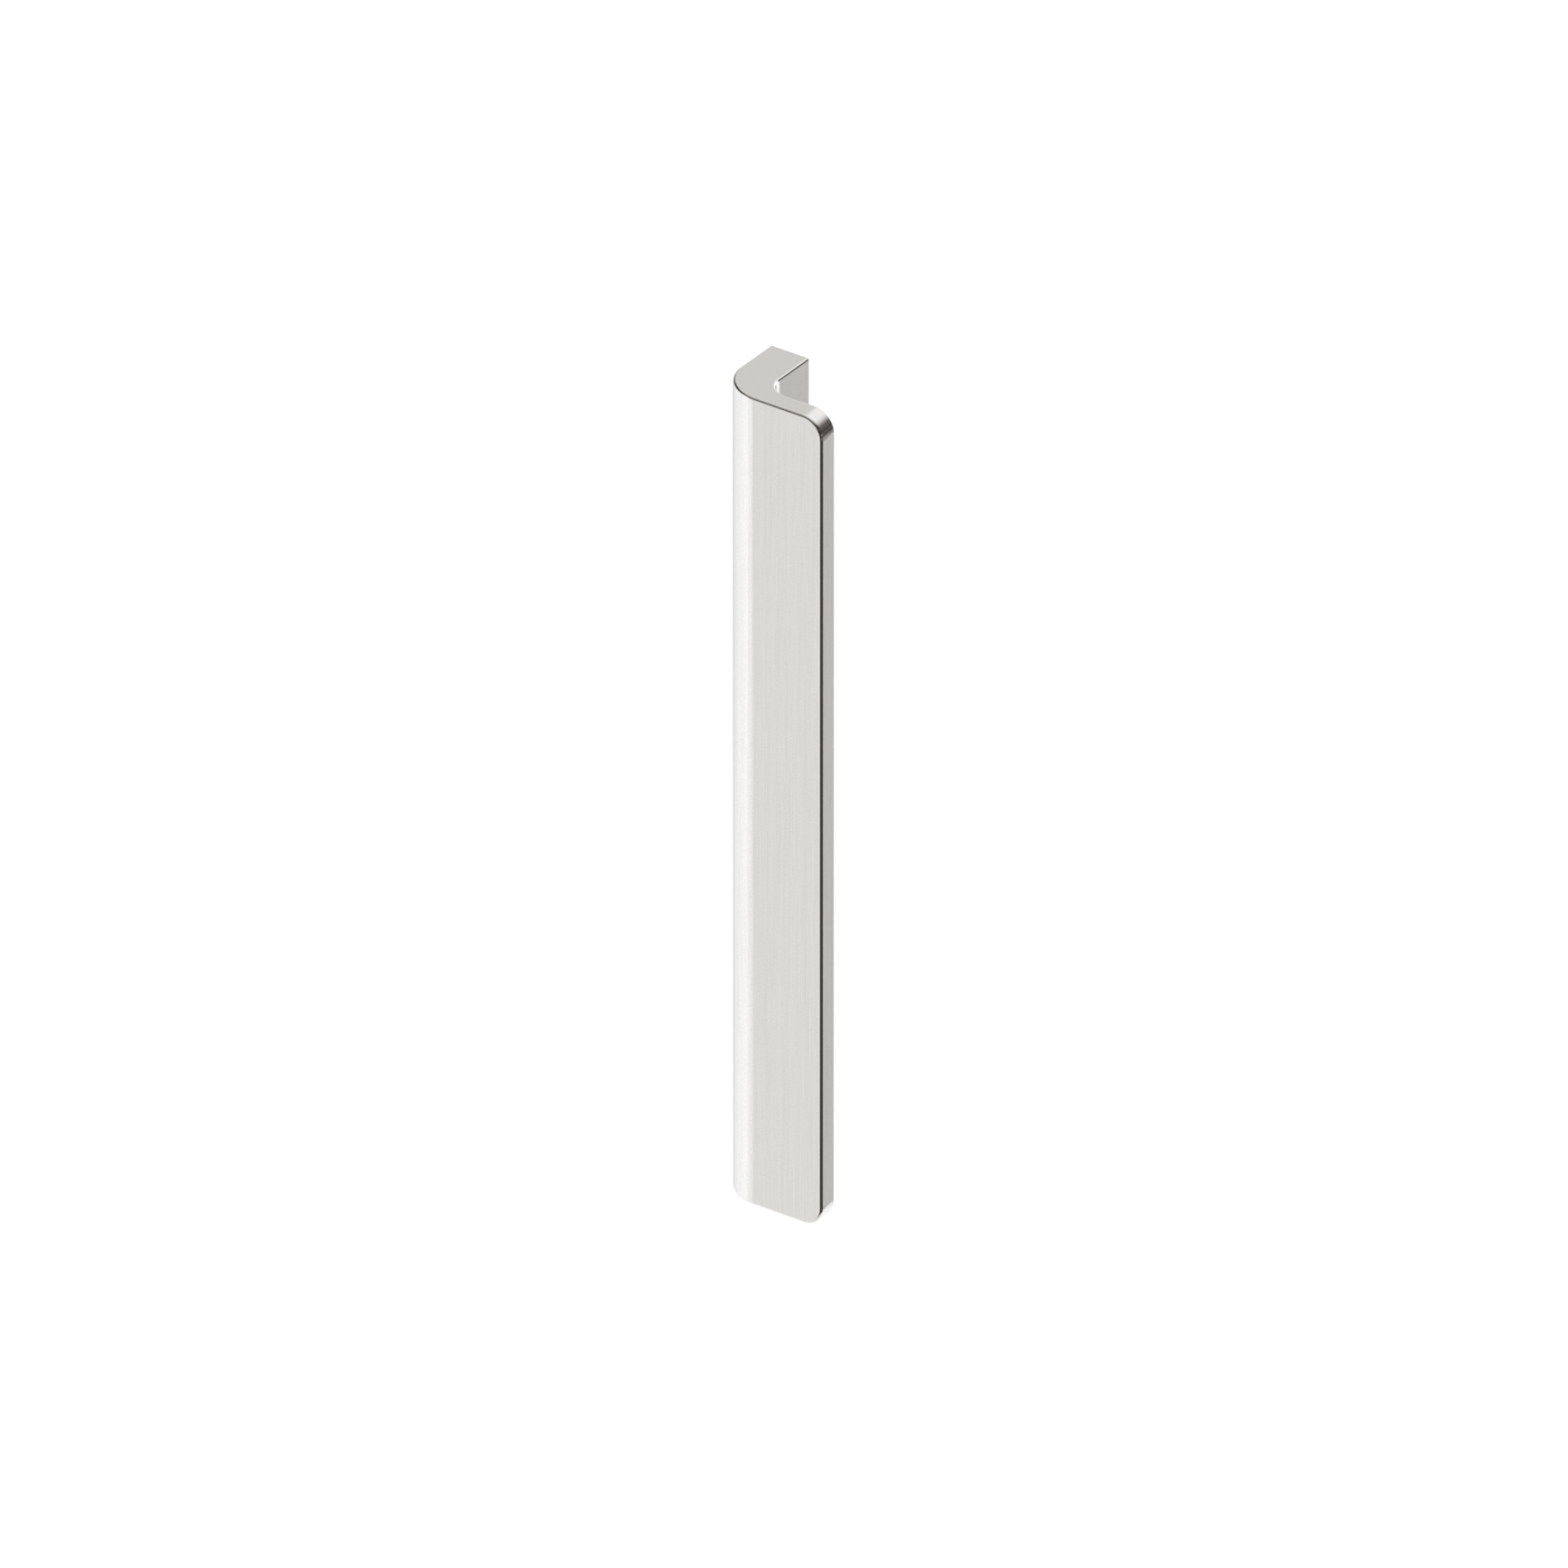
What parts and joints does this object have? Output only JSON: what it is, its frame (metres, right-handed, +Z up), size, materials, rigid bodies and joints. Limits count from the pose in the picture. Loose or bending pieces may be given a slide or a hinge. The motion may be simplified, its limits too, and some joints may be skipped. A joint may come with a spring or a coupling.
{
  "type": "door pull handle",
  "caption": "Upright L-section door pull in brushed metal: a thick leg, screwed on from behind, carries a thinner front plate with rounded corners and a finger gap behind its free edge.",
  "frame": {"origin": "midway between the two screw holes, on the mounting face that meets the door", "axes": "+Z up along the bar, +Y into the door (out of the screw holes' mouths), +X from the leg to the front plate's free edge; the front of the handle faces -Y"},
  "size_m": [0.028, 0.021, 0.2],
  "materials": {
    "brushed_metal": "long-grain brushed along the bar, satin, in a warm stainless-steel tone"
  },
  "bodies": {
    "root": {"pull_handle": "brushed_metal"}
  },
  "joints": []
}
